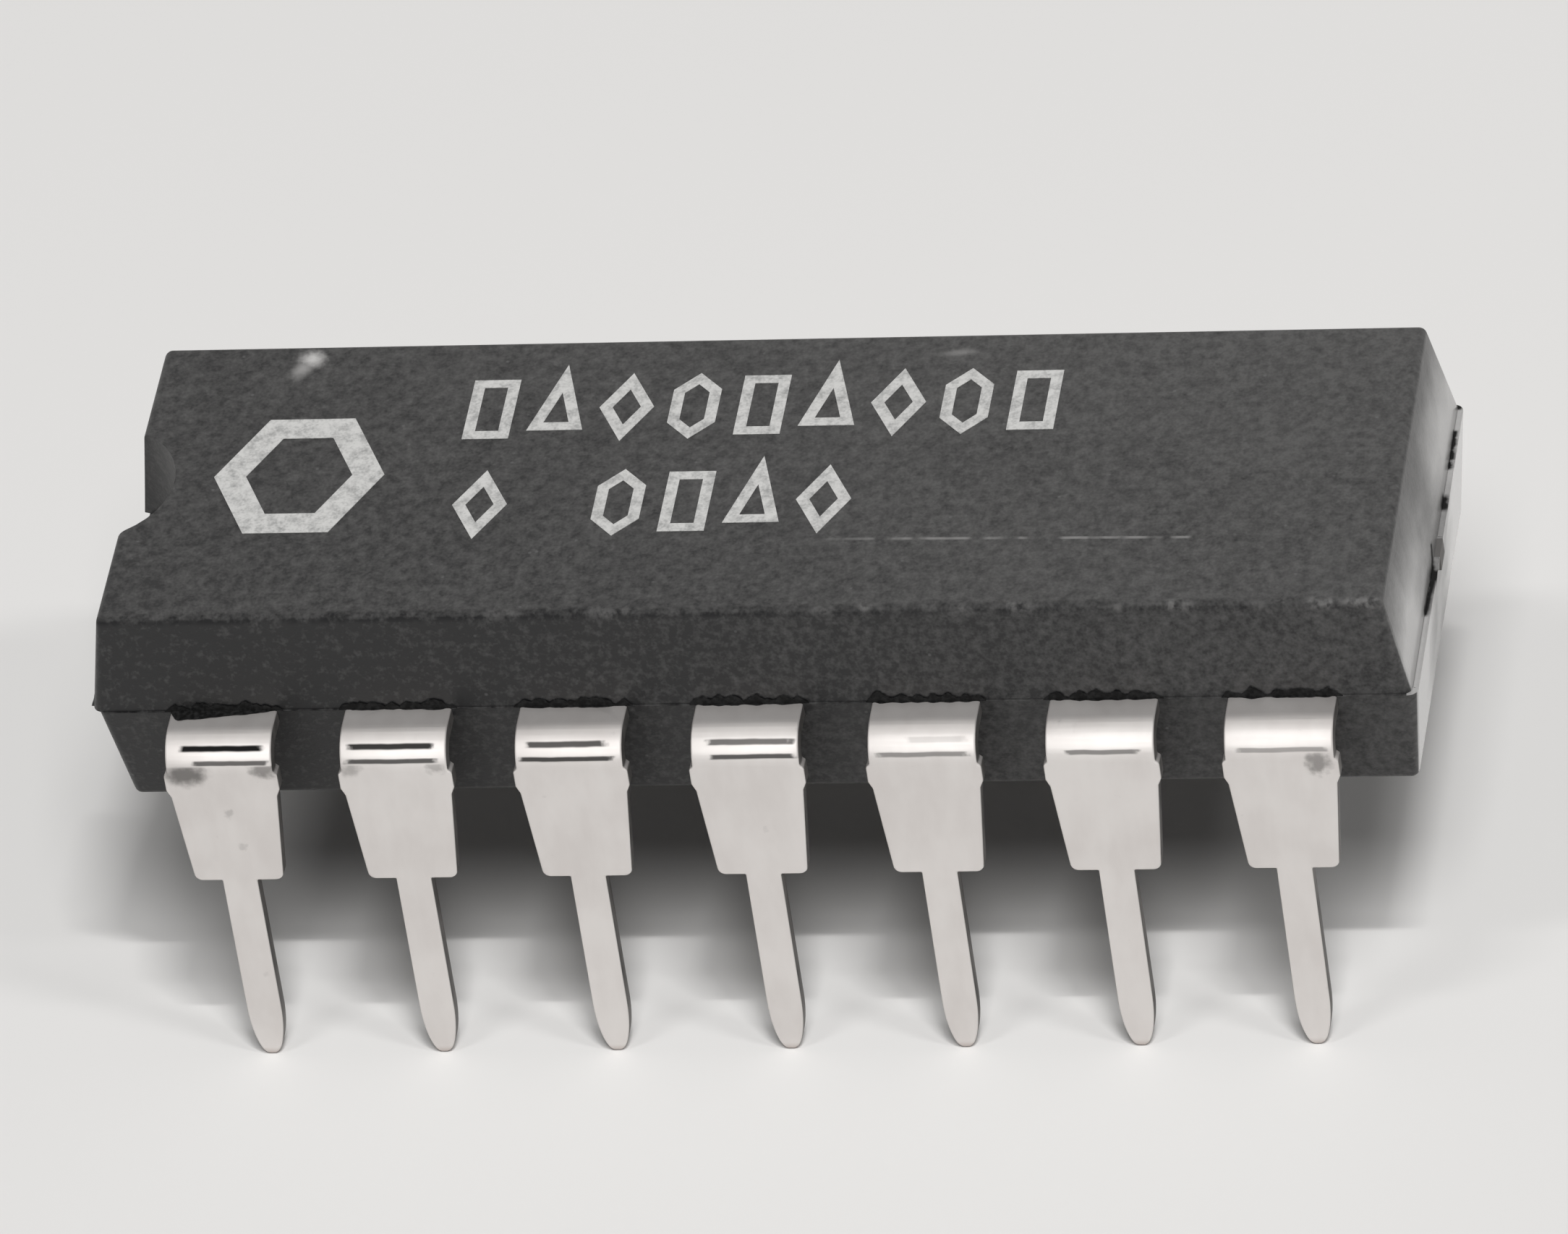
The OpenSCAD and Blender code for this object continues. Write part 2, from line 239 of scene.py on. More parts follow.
def moulding_compound():
    """Black epoxy moulding compound with a matt grain, painted light and shade across its faces, a nick, a
    scratch and a painted cloudy sheen on the plain end.
    """
    paint = Paint("moulding_compound")
    grain = paint.cloud(7.5, 2, roughness=0.6)
    fine = paint.cloud(22, 2)
    patches = paint.cloud(0.45, 2)
    normal = paint.node("ShaderNodeNewGeometry", out="Normal")
    split = paint.node("ShaderNodeSeparateXYZ", normal)
    facing_x, facing_y, facing_z = paint.outputs(split, "X", "Y", "Z")
    # Faces towards the front, which the tone below puts in painted shade
    front = (0 - facing_y).ramp(0.6, 0.95)
    outward = facing_x.ramp(0.8, 0.93)

    # Painted light and shade: darkest at the notched end and on the front, palest towards the plain end and
    # the back
    painted_light_drift = paint.x.ramp(-9.0, 9.0)
    tone = 0.3 + 0.3 * painted_light_drift + 0.1 * paint.y.ramp(-2.0, 3.0) - front * (0.36 - 0.14 * painted_light_drift)
    tone = tone + 1.9 * (grain - 0.5) + 0.9 * (fine - 0.5) + 0.35 * (patches - 0.5)
    colour = paint.mix(tone.clip(), COMPOUND_DARK, COMPOUND_PALE)

    # Grains of filler that show as pale specks
    specks = paint.node("ShaderNodeTexVoronoi", at={"Vector": paint.mm, "Scale": 5.5})
    chosen = paint.node("ShaderNodeTexWhiteNoise", paint.outputs(specks, "Position")[0])
    speck = (1 - specks.ramp(0.05, 0.2)) * (chosen > 0.93)
    colour = paint.mix(speck * 0.3, colour, FILLER_GRAIN)

    # The top edge at the front is painted a little pale in places, partly as rubbing and partly as a painted
    # highlight that grows towards the plain end, with two small chips
    height = paint.z.ramp(TOP / MM - 0.16, TOP / MM - 0.05)
    edge = (1 - abs(paint.y + EDGE_FRONT_Y).ramp(0.06, 0.17)) * height
    rubbed_and_highlight = edge * paint.cloud(1.3, 3, w=3.0).ramp(0.5, 0.64) * paint.cloud(9, 2, w=5.0).ramp(0.35, 0.6)
    for x in EDGE_CHIPS:
        away = (paint.x - x) ** 2 + (paint.y + EDGE_FRONT_Y) ** 2 + (paint.z - TOP / MM + 0.06) ** 2
        chip = 1 - away ** 0.5 / CHIP_REACH
        rubbed_and_highlight = rubbed_and_highlight.most(chip.clip())

    # A nick, a smear and a broken scratch on the upper face
    upper = paint.z > TOP / MM - 0.05
    nick = paint.near(*NICK_HEAD, 0.27, fuzz=0.14)
    nick = nick.most(0.5 * paint.near(*NICK_TAIL, 0.36, 1.7, NICK_TURN, 0.1))
    smear = paint.near(*SMEAR, 0.4, narrow=3.5, turn=0.1, fuzz=0.16) * 0.25
    line = SCRATCH_Y + (paint.x - SCRATCH_START) * SCRATCH_SLOPE
    within = paint.x.ramp(SCRATCH_START, SCRATCH_START + 2.5)
    within = within * (1 - paint.x.ramp(SCRATCH_END - 0.1, SCRATCH_END))
    broken = paint.cloud(2.4, 2, stretch=(1, 0.05, 1), w=8.0).ramp(0.42, 0.56)
    scratch = (1 - abs(paint.y - line).ramp(0.01, 0.04)) * within * broken * 0.3
    # Pale marks: the nick, smear and scratch, and the rubbed edge with its painted highlight
    marks = (nick.most(smear).most(scratch) * upper).most(rubbed_and_highlight * 0.2 * (0.25 + 0.75 * painted_light_drift))
    colour = paint.mix(marks, colour, PALE_MARKS_AND_HIGHLIGHT)

    # Painted reflection: the plain end gets a cloudy pale sheen towards its parting line and its corners,
    # which also sets its coat; its dents are painted dark as their shade
    at_end = paint.x > HALF_LENGTH / MM - 0.16
    ledge = (facing_z > 0.5) * (paint.z < PARTING / MM + 0.05) * at_end
    sheen_faces = outward.most(ledge)
    cloudy = paint.cloud(0.8, 3, stretch=(1, 1, 1.6), w=11.0).ramp(0.38, 0.62)
    uneven = paint.z + (paint.cloud(1.2, 4, w=13.0) - 0.5) * 1.1
    low = 1 - uneven.ramp(PARTING / MM, PARTING / MM + 1.55)
    corners = abs(paint.y + 0.1).ramp(0.3, 2.1)
    painted_sheen_and_coat = (low * (0.25 + 0.3 * cloudy + 0.75 * corners)).clip() * sheen_faces
    colour = paint.mix(painted_sheen_and_coat * 0.5, colour, PAINTED_SHEEN)
    # The dents' shade is painted nearly black
    dent_shade = end_dents(paint) * at_end
    colour = paint.mix(dent_shade, colour, DENT_SHADE)

    roughness = 0.38 + 0.1 * grain + 0.08 * patches - 0.12 * outward + 0.2 * marks + 0.4 * (dent_shade + edge)
    relief = 0.6 * grain + 0.4 * fine - 0.8 * nick * upper - 0.5 * scratch
    return paint.finish(colour, Roughness=roughness, IOR=1.52, Coat_Weight=(painted_sheen_and_coat * (1 - dent_shade)).clip(),
                        Coat_Roughness=0.16, Coat_IOR=2.0, Normal=paint.bump(relief, 0.008))


def end_dents(paint):
    """Dents along the parting line of the plain end, as short ragged strokes, with their shade painted dark.
    """
    wander = (paint.cloud(7, 3, w=27.0) - 0.5) * 0.11
    shown = None
    for start, end, width in END_DENTS:
        way = Vector(end) - Vector(start)
        length = way.length
        way.normalize()
        away = [paint.x - start[0], paint.y - start[1], paint.z - start[2]]
        along = (away[0] * way.x + away[1] * way.y + away[2] * way.z).most(0.0).least(length)
        off = [a - along * w + wander for a, w in zip(away, way)]
        distance = (off[0] ** 2 + off[1] ** 2 + off[2] ** 2) ** 0.5
        spot = 1 - distance.ramp(0.0, width)
        shown = spot if shown is None else shown.most(spot)
    return (shown * 1.3).clip()


def painted_reflection_lines(paint):
    """Painted reflections: dark lines across the bends, standing for dark things round the stage mirrored in
    the tin.
    """
    row = (paint.y < 0) * 2 - 1
    outward = 0 - paint.y * row - BEND_OUT / MM
    angle = paint.node("ShaderNodeMath", paint.z - BEND_AXIS / MM, outward, operation="ARCTAN2")
    angle = angle * (180 / math.pi) + (paint.cloud(2.5, 2, w=21.0) - 0.5) * 3.5
    ragged = (paint.cloud(7, 3, w=23.0) - 0.5) * 0.3
    shown = None
    for level, width, runs in REFLECTION_LINES:
        band = 1 - abs(angle - level).ramp(width * 0.45, width)
        for start, end, strength in runs:
            begun = (paint.x + ragged).ramp(start, start + LINE_FADE)
            over = (paint.x + ragged).ramp(end - LINE_FADE, end)
            mark = band * (begun * (1 - over)) * strength
            shown = mark if shown is None else shown.most(mark)
    return shown * (0.35 + 0.65 * (paint.y < 0))


def tin_plating():
    """Satin tin plating, faintly mottled, with painted reflection lines and smudges at the bends and bare
    metal at the tips.
    """
    paint = Paint("tin_plating")
    mottle = paint.cloud(0.9, 3, w=2.0)
    streaks = paint.cloud(3.5, 3, stretch=(1, 1, 0.35), w=4.0)
    tone = 0.6 * mottle + 0.4 * streaks
    colour = paint.mix(tone.ramp(0.3, 0.68), TIN_DULL, TIN_BRIGHT)

    smudge = None
    for x, z, reach, narrow, depth in SMUDGES:
        along = paint.x - x
        down = (paint.z - z) * narrow
        spot = (along * along + down * down) ** 0.5 + (paint.cloud(7, 3, w=6.0) - 0.5) * 0.3
        spot = (1 - spot.ramp(reach * 0.3, reach)) * depth
        smudge = spot if smudge is None else smudge.most(spot)
    smudge = smudge * (paint.y < 0) * (1 - paint.z.ramp(BEND_LOW / MM - 0.04, BEND_LOW / MM))
    worn = paint.cloud(3.2, 4, w=9.0).ramp(0.68, 0.78) * 0.2
    colour = paint.mix(smudge.most(worn), colour, SMUDGE)
    # Dark reflections painted across the bends
    reflected_lines = painted_reflection_lines(paint)
    colour = paint.mix(reflected_lines, colour, REFLECTED_DARK)
    bare = 1 - paint.z.ramp(0.02, 0.14)
    colour = paint.mix(bare * 0.45, colour, BARE_METAL)

    # The sheared sides are duller than the rolled faces, and darker partly as sheared metal and partly as
    # painted shade
    normal = paint.node("ShaderNodeNewGeometry", out="Normal")
    facing_x = paint.outputs(paint.node("ShaderNodeSeparateXYZ", normal), "X")[0]
    sheared = abs(facing_x).ramp(0.75, 0.97)
    colour = paint.mix(sheared * (0.6 + 0.5 * streaks).clip(), colour, SHEARED_AND_SHADED)

    roughness = 0.35 + 0.08 * mottle + 0.25 * smudge + 0.1 * bare + 0.2 * sheared + 0.3 * reflected_lines
    relief = 0.7 * streaks + 0.3 * mottle
    return paint.finish(colour, Metallic=0.75, Roughness=roughness, Normal=paint.bump(relief, 0.002))


def frame_metal():
    """Copper alloy of the lead frame, dulled grey at the sheared ends of the tie bars."""
    paint = Paint("frame_metal")
    rolled = paint.cloud(6, 3, stretch=(0.15, 1, 1))
    colour = paint.mix(rolled.ramp(0.3, 0.7), COPPER_DULL, COPPER_BRIGHT)
    cut = abs(paint.x).ramp(HALF_LENGTH / MM - 0.25, HALF_LENGTH / MM - 0.1)
    colour = paint.mix(cut, colour, CUT_METAL)
    return paint.finish(colour, Metallic=1 - 0.5 * cut, Roughness=0.3 + 0.15 * rolled + 0.4 * cut,
                        Normal=paint.bump(rolled, 0.003))


def silver_adhesive():
    """Silver-filled adhesive, with a soft granular face."""
    paint = Paint("silver_adhesive")
    flakes = paint.cloud(38, 3)
    colour = paint.mix(flakes.ramp(0.35, 0.65), FLAKE_DULL, FLAKE_BRIGHT)
    return paint.finish(colour, Metallic=0.7, Roughness=0.4 + 0.2 * flakes, Normal=paint.bump(flakes, 0.01))


def chip_face():
    """Silicon with a plain grid of blocks on its face and an aluminium rim."""
    paint = Paint("chip_face")
    blocks = paint.node("ShaderNodeTexVoronoi", distance="CHEBYCHEV", at={
        "Vector": paint.mm, "Scale": 6.0, "Randomness": 0.75})
    tint = paint.outputs(blocks, "Color")[0]
    shade = paint.node("ShaderNodeSeparateColor", tint)
    colour = paint.mix(shade, SILICON_BLUE, SILICON_GREY)
    tracks = paint.node("ShaderNodeTexWave", out="Fac", at={
        "Vector": paint.mm, "Scale": 9.0, "Distortion": 2.0})
    colour = paint.mix(tracks.ramp(0.7, 0.8) * 0.6, colour, ALUMINIUM)
    return paint.finish(colour, Metallic=0.8, Roughness=0.15 + 0.1 * shade,
                        Normal=paint.bump(tracks, 0.001))


def gold():
    """Fine gold wire with drawing marks."""
    paint = Paint("drawn_gold")
    drawn = paint.cloud(60, 2)
    colour = paint.mix(drawn.ramp(0.3, 0.7), GOLD_DEEP, GOLD_PALE)
    return paint.finish(colour, Metallic=1.0, Roughness=0.18 + 0.12 * drawn,
                        Normal=paint.bump(drawn, 0.0006))


def seam_resin():
    """Dull black resin bled out round the leads, also used for the seams of painted shade above them."""
    paint = Paint("seam_resin")
    lumps = paint.cloud(16, 3)
    colour = paint.mix(lumps.ramp(0.35, 0.7), RESIN_AND_SHADE_DARK, RESIN_AND_SHADE_PALE)
    return paint.finish(colour, Roughness=0.7 + 0.2 * lumps, IOR=1.3, Normal=paint.bump(lumps, 0.01))


def white_ink():
    """Marking ink, worn thin so that it lies unevenly on the grain."""
    paint = Paint("white_ink")
    thin = paint.cloud(6, 3, w=1.0)
    grain = paint.cloud(24, 2)
    share = (0.6 * thin + 0.4 * grain).ramp(0.28, 0.62)
    colour = paint.mix(share, INK_THIN, INK_FULL)
    return paint.finish(colour, Roughness=0.6 + 0.15 * grain, Normal=paint.bump(grain, 0.006))


def floor_finish():
    """Plain pale floor that is clear from below."""
    paint = Paint("pale_floor")
    shader = paint.node("ShaderNodeBsdfPrincipled", at={
        "Base Color": (*FLOOR_COLOUR, 1.0), "Roughness": 0.85, "Specular IOR Level": 0.2})
    clear = paint.node("ShaderNodeBsdfTransparent")
    below = paint.node("ShaderNodeNewGeometry", out="Backfacing")
    path = paint.node("ShaderNodeLightPath", out="Is Camera Ray")
    mixed = paint.node("ShaderNodeMixShader", below * path, shader, clear)
    paint.node("ShaderNodeOutputMaterial", mixed)
    return paint.material


# Meshes


def new_object(name, mesh):
    made = bpy.data.objects.new(name, mesh)
    bpy.context.scene.collection.objects.link(made)
    return made


def dress(obj, slot, *replaced):
    """Makes an object ride on the part and hides the CAD nodes it stands for. The finish's slot it is given
    is not used.
    """
    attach(obj, BODY)
    if replaced:
        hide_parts(*replaced)
    return obj


def mesh_from(bm, name, material):
    """A mesh from bmesh data, with its material."""
    mesh = bpy.data.meshes.new(name)
    bm.to_mesh(mesh)
    bm.free()
    mesh.materials.clear()
    mesh.materials.append(material)
    return mesh


def joined_copy(node):
    """The triangles of a CAD node as bmesh data, joined where they touch."""
    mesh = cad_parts[node].data.copy()
    stored = mesh.attributes.get("custom_normal")
    if stored:
        mesh.attributes.remove(stored)
    bm = bmesh.new()
    bm.from_mesh(mesh)
    bpy.data.meshes.remove(mesh)
    bmesh.ops.remove_doubles(bm, verts=bm.verts, dist=WELD)
    return bm


def smooth_object(name, mesh, sharp_degrees):
    """An object whose small roundings shade smoothly and whose large faces stay flat."""
    mesh.polygons.foreach_set("use_smooth", [True] * len(mesh.polygons))
    mesh.set_sharp_from_angle(angle=math.radians(sharp_degrees))
    obj = new_object(name, mesh)
    weighted = obj.modifiers.new("flat_faces", "WEIGHTED_NORMAL")
    weighted.keep_sharp = True
    weighted.weight = 100
    return settled(obj)


def settled(obj):
    """Turns an object's modifiers into plain mesh."""
    graph = bpy.context.evaluated_depsgraph_get()
    mesh = bpy.data.meshes.new_from_object(
        obj.evaluated_get(graph), preserve_all_data_layers=True, depsgraph=graph)
    mesh.name = obj.name
    obj.modifiers.clear()
    obj.data = mesh
    return obj


def round_bend(bm, side):
    """Gives a lead's bend more steps, each on its true radius. side is -1 for the front row."""
    out_at = max(side * v.co.y for v in bm.verts if v.co.z > PARTING - WELD)
    axis_z = PARTING - BEND_INNER - STRIP
    axis = Vector((0, side * out_at, axis_z))
    for step in range(1, BEND_STEPS):
        angle = SPLAY + (math.pi / 2 - SPLAY) * step / BEND_STEPS
        across = Vector((0, -side * math.sin(angle), math.cos(angle)))
        everything = bm.verts[:] + bm.edges[:] + bm.faces[:]
        bmesh.ops.bisect_plane(bm, geom=everything, dist=WELD, plane_co=axis, plane_no=across)
    middle = BEND_INNER + STRIP / 2
    for v in bm.verts:
        away = Vector((0, v.co.y - axis.y, v.co.z - axis_z))
        outward = side * away.y
        angle = math.atan2(away.z, outward)
        turned = SPLAY - TURN_SLACK < angle < math.pi / 2 + TURN_SLACK
        if turned and away.length < BEND_REACH * (BEND_INNER + STRIP):
            radius = BEND_INNER if away.length < middle else BEND_INNER + STRIP
            if abs(away.length - radius) < RADIUS_SLACK * BEND_INNER:
                exact = away.normalized() * radius
                v.co.y = axis.y + exact.y
                v.co.z = axis_z + exact.z


def formed_lead(node, material):
    """A stamped and formed lead: the CAD lead with a smooth bend and rounded edges."""
    bm = joined_copy(node)
    side = -1 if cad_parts[node].data.vertices[0].co.y < 0 else 1
    round_bend(bm, side)
    bmesh.ops.dissolve_limit(bm, angle_limit=LEAD_FLAT, verts=bm.verts, edges=bm.edges)
    sharp = [e for e in bm.edges if len(e.link_faces) == 2 and e.calc_face_angle() > LEAD_SHARP]
    bmesh.ops.bevel(bm, geom=sharp, offset=EDGE_ROUND, segments=2, profile=0.5, affect="EDGES",
                    clamp_overlap=False)
    mesh = mesh_from(bm, "formed_" + node, material)
    return dress(smooth_object("formed_" + node, mesh, LEAD_CREASE), "tinned_lead", node)


def moulding(material):
    """The moulded body with its small roundings smoothed."""
    bm = joined_copy("moulded_body")
    bmesh.ops.dissolve_limit(bm, angle_limit=BODY_FLAT, verts=bm.verts, edges=bm.edges)
    mesh = mesh_from(bm, "moulding", material)
    return dress(smooth_object("moulding", mesh, BODY_CREASE), "moulding", "moulded_body")


# Print on the upper face


def outline_band(corners, stroke):
    """A closed band of even width inside a convex outline, as bmesh data."""
    bm = bmesh.new()
    outer, inner = [], []
    for i, corner in enumerate(corners):
        before = (corner - corners[i - 1]).normalized()
        after = (corners[(i + 1) % len(corners)] - corner).normalized()
        left, right = Vector((-before.y, before.x)), Vector((-after.y, after.x))
        inside = corner + (left + right) * stroke / (1 + left.dot(right))
        outer.append(bm.verts.new((*corner, 0)))
        inner.append(bm.verts.new((*inside, 0)))
    for i in range(len(corners)):
        j = (i + 1) % len(corners)
        bm.faces.new((outer[i], outer[j], inner[j], inner[i]))
    return bm


def regular_outline(corners, turn, width, height):
    """Corners of a regular polygon, stretched to a width and a height."""
    turns = [turn + 2 * math.pi * i / corners for i in range(corners)]
    points = [Vector((math.cos(a), math.sin(a))) for a in turns]
    wide = max(p.x for p in points) - min(p.x for p in points)
    tall = max(p.y for p in points) - min(p.y for p in points)
    return [Vector((p.x * width / wide, p.y * height / tall)) for p in points]


def printed(name, bm, material):
    """A flat shape made a thin layer of ink at the origin."""
    bmesh.ops.recalc_face_normals(bm, faces=bm.faces)
    made = bmesh.ops.extrude_face_region(bm, geom=bm.faces[:])
    top = [g for g in made["geom"] if isinstance(g, bmesh.types.BMVert)]
    bmesh.ops.translate(bm, verts=top, vec=(0, 0, INK))
    bmesh.ops.recalc_face_normals(bm, faces=bm.faces)
    return new_object(name, mesh_from(bm, name, material))


def row_tree(shapes, material):
    """Geometry Nodes that set a row of marks, which take turns from a collection."""
    group = bpy.data.node_groups.new("print_row", "GeometryNodeTree")
    face = group.interface
    face.new_socket("Geometry", in_out="OUTPUT", socket_type="NodeSocketGeometry")
    face.new_socket("Count", in_out="INPUT", socket_type="NodeSocketInt")
    face.new_socket("Pitch", in_out="INPUT", socket_type="NodeSocketFloat")
    face.new_socket("Start", in_out="INPUT", socket_type="NodeSocketVector")
    face.new_socket("First", in_out="INPUT", socket_type="NodeSocketInt")
    tree = Tree(group)
    given = tree.node("NodeGroupInput", out="Count")
    pitch, start, first = tree.outputs(given, "Pitch", "Start", "First")
    step = tree.node("ShaderNodeCombineXYZ", pitch)
    line = tree.node("GeometryNodeMeshLine", at={"Count": given, "Start Location": start, "Offset": step})
    kinds = tree.node("GeometryNodeCollectionInfo", at={
        "Collection": shapes, "Separate Children": True, "Reset Children": True})
    turn = tree.node("GeometryNodeInputIndex") + first
    row = tree.node("GeometryNodeInstanceOnPoints", at={
        "Points": line, "Instance": kinds, "Pick Instance": True, "Instance Index": turn})
    real = tree.node("GeometryNodeRealizeInstances", row)
    painted = tree.node("GeometryNodeSetMaterial", real, at={"Material": material})
    tree.node("NodeGroupOutput", painted)
    return group


def grown(name, group, **inputs):
    """An object made by a Geometry Nodes group with these inputs, as a plain mesh."""
    obj = new_object(name, bpy.data.meshes.new(name))
    modifier = obj.modifiers.new(name, "NODES")
    modifier.node_group = group
    keys = {s.name: s.identifier for s in group.interface.items_tree if s.in_out == "INPUT"}
    for label, value in inputs.items():
        modifier[keys[label]] = value
    return settled(obj)


def print_marks(material):
    """Plain ink shapes: a hexagon band, two rows of simple outlines and one that stands apart."""
    shapes = bpy.data.collections.new("print_shapes")
    patterns = []
    for index, (corners, turn, width, height) in enumerate(ROW_SHAPES):
        band = outline_band(regular_outline(corners, turn, width * MM, height * MM), PRINT_STROKE)
        mark = printed(f"print_shape_{index}", band, material)
        bpy.context.scene.collection.objects.unlink(mark)
        shapes.objects.link(mark)
        patterns.append(mark)
    group = row_tree(shapes, material)
    for name, count, first, x, y in PRINT_ROWS:
        start = Vector((x * MM, y * MM, TOP - INK_SUNK))
        row = grown(name, group, Count=count, Pitch=PRINT_PITCH, Start=start, First=first)
        dress(row, "moulding")
    for mark in patterns:
        bpy.data.objects.remove(mark)
    bpy.data.collections.remove(shapes)

    band = outline_band(regular_outline(6, 0.0, *EMBLEM_SIZE), EMBLEM_STROKE)
    emblem = printed("print_hexagon", band, material)
    emblem.data.transform(Matrix.Translation((EMBLEM_AT[0] * MM, EMBLEM_AT[1] * MM, TOP - INK_SUNK)))
    dress(emblem, "moulding")


# Thin resin left by the mould, and dark seams of painted shade at the leads


def parting_fin(material):
    """A thin ragged fin of resin round the parting line, in short stretches."""
    bm = bmesh.new()
    chance = random.Random(FIN_SEED)
    for start, end, outward in FIN_RUNS:
        start, end = Vector(start) * MM, Vector(end) * MM
        outward = Vector(outward)
        steps = max(2, round((end - start).length / (FIN_STEP * MM)))
        rows = []
        for i in range(steps + 1):
            p = start.lerp(end, i / steps)
            rough = noise.noise(p * FIN_ROUGH_SCALE) * 0.5 + 0.5
            patchy = max(0.0, noise.noise(p * FIN_PATCH_SCALE + Vector(FIN_PATCH_AT)) + 0.15)
            reach = FIN_REACH * MM * (0.25 + rough) * min(1.0, 2.6 * patchy) * chance.uniform(0.8, 1.1)
            base = p - outward * FIN_ROOT * MM
            tip = p + outward * reach
            rows.append([bm.verts.new(q) for q in (
                base + Vector((0, 0, FIN_THICK * MM)), tip, base - Vector((0, 0, FIN_THICK * MM)))])
        for a, b in zip(rows, rows[1:]):
            for j in range(3):
                k = (j + 1) % 3
                bm.faces.new((a[j], a[k], b[k], b[j]))
        bm.faces.new(rows[0])
        bm.faces.new(rows[-1])
    bmesh.ops.recalc_face_normals(bm, faces=bm.faces)
    return dress(new_object("parting_fin", mesh_from(bm, "parting_fin", material)), "moulding")


def seam_tree(material):
    """Geometry Nodes that lay a thin ragged dark strip at each lead of a row, for resin films and for seams
    of painted shade.
    """
    group = bpy.data.node_groups.new("lead_seams", "GeometryNodeTree")
    face = group.interface
    face.new_socket("Geometry", in_out="OUTPUT", socket_type="NodeSocketGeometry")
    for label, kind in (("Count", "Int"), ("Pitch", "Float"), ("Start", "Vector"), ("Width", "Float"),
                        ("Turn", "Rotation"), ("Outward", "Vector"), ("Reach", "Float"), ("Slant", "Float"),
                        ("Thick", "Float")):
        face.new_socket(label, in_out="INPUT", socket_type="NodeSocket" + kind)
    tree = Tree(group)
    given = tree.node("NodeGroupInput", out="Count")
    pitch, start, width, turn, outward, reach, slant, thick = tree.outputs(
        given, "Pitch", "Start", "Width", "Turn", "Outward", "Reach", "Slant", "Thick")

    # One strip, which remembers its outer edge and its way along
    strip = tree.node("GeometryNodeMeshGrid", width, SEAM_ROOT, SEAM_POINTS, 2)
    place = tree.node("ShaderNodeSeparateXYZ", tree.node("GeometryNodeInputPosition"))
    across = tree.outputs(place, "Y")[0]
    strip = tree.node("GeometryNodeStoreNamedAttribute", data_type="FLOAT", domain="POINT", at={
        "Geometry": strip, "Name": "outer", "Value": across > 0})
    strip = tree.node("GeometryNodeStoreNamedAttribute", data_type="FLOAT", domain="POINT", at={
        "Geometry": strip, "Name": "leftward", "Value": place / width + 0.5})
    step = tree.node("ShaderNodeCombineXYZ", pitch)
    line = tree.node("GeometryNodeMeshLine", at={"Count": given, "Start Location": start, "Offset": step})
    row = tree.node("GeometryNodeInstanceOnPoints", at={"Points": line, "Instance": strip, "Rotation": turn})
    real = tree.node("GeometryNodeRealizeInstances", row)

    # The outer edge is drawn out unevenly
    where = tree.node("ShaderNodeVectorMath", tree.node("GeometryNodeInputPosition"), operation="SCALE",
                      at={"Scale": 1 / MM})
    rough = tree.node("ShaderNodeTexNoise", at={"Vector": where, "Scale": 4.5, "Detail": 3.0})
    outer = tree.node("GeometryNodeInputNamedAttribute", data_type="FLOAT", at={"Name": "outer"})
    leftward = tree.node("GeometryNodeInputNamedAttribute", data_type="FLOAT", at={"Name": "leftward"})
    ends = (leftward * (1 - leftward) * 14).clip()
    amount = outer * ends * (reach * (2.6 * rough - 0.75).clip() + slant * leftward)
    offset = tree.node("ShaderNodeVectorMath", outward, operation="SCALE", at={"Scale": amount})
    drawn = tree.node("GeometryNodeSetPosition", at={"Geometry": real, "Offset": offset})
    raised = tree.node("GeometryNodeExtrudeMesh", at={
        "Mesh": drawn, "Offset Scale": thick, "Individual": False})
    under = tree.node("GeometryNodeFlipFaces", drawn)
    both = tree.node("GeometryNodeJoinGeometry", raised)
    tree.tree.links.new(under.socket, both.socket.node.inputs[0])
    closed = tree.node("GeometryNodeMergeByDistance", at={"Geometry": both, "Distance": SEAM_WELD})
    painted = tree.node("GeometryNodeSetMaterial", closed, at={"Material": material})
    tree.node("NodeGroupOutput", painted)
    return group


def lead_seams(material):
    """Resin bled over each lead, and a dark seam of painted shade up the moulding above it, with a slanted
    film on the first lead.
    """
    group = seam_tree(material)
    upright = math.radians(90 - SIDE_DRAFT)
    for row, side in (("front", -1), ("back", 1)):
        way = Vector((0, side, 0))
        flat = (0, 0, math.pi if side < 0 else 0)
        first = Vector((FIRST_X, 0, PARTING))
        start = first + way * (EXIT_Y - FILM_TUCK)
        film = grown(f"{row}_films", group, Count=ROW_LEADS, Pitch=PITCH, Start=start, Width=FILM_WIDTH,
                     Turn=flat, Outward=way, Reach=FILM_REACH, Slant=0.0, Thick=FILM_THICK)
        dress(film, "moulding")
        # The seams stand up the moulding above each lead as painted shade
        rise = Vector((0, -side * math.sin(math.radians(SIDE_DRAFT)), math.cos(math.radians(SIDE_DRAFT))))
        standing = (upright, 0, 0) if side < 0 else (upright, 0, math.pi)
        seam = grown(f"{row}_seams", group, Count=ROW_LEADS, Pitch=PITCH, Start=first + way * EXIT_Y,
                     Width=SEAM_WIDTH, Turn=standing, Outward=rise, Reach=SEAM_REACH, Slant=0.0,
                     Thick=SEAM_THICK)
        dress(seam, "moulding")
    start = Vector((FIRST_X, -EXIT_Y, PARTING + SLANTED_LIFT))
    film = grown("slanted_film", group, Count=1, Pitch=PITCH, Start=start, Width=SLANTED_WIDTH,
                 Turn=(0, 0, math.pi), Outward=Vector((0, -1, 0)), Reach=SLANTED_REACH, Slant=SLANT,
                 Thick=SEAM_THICK)
    dress(film, "moulding")


# Camera, floor and light


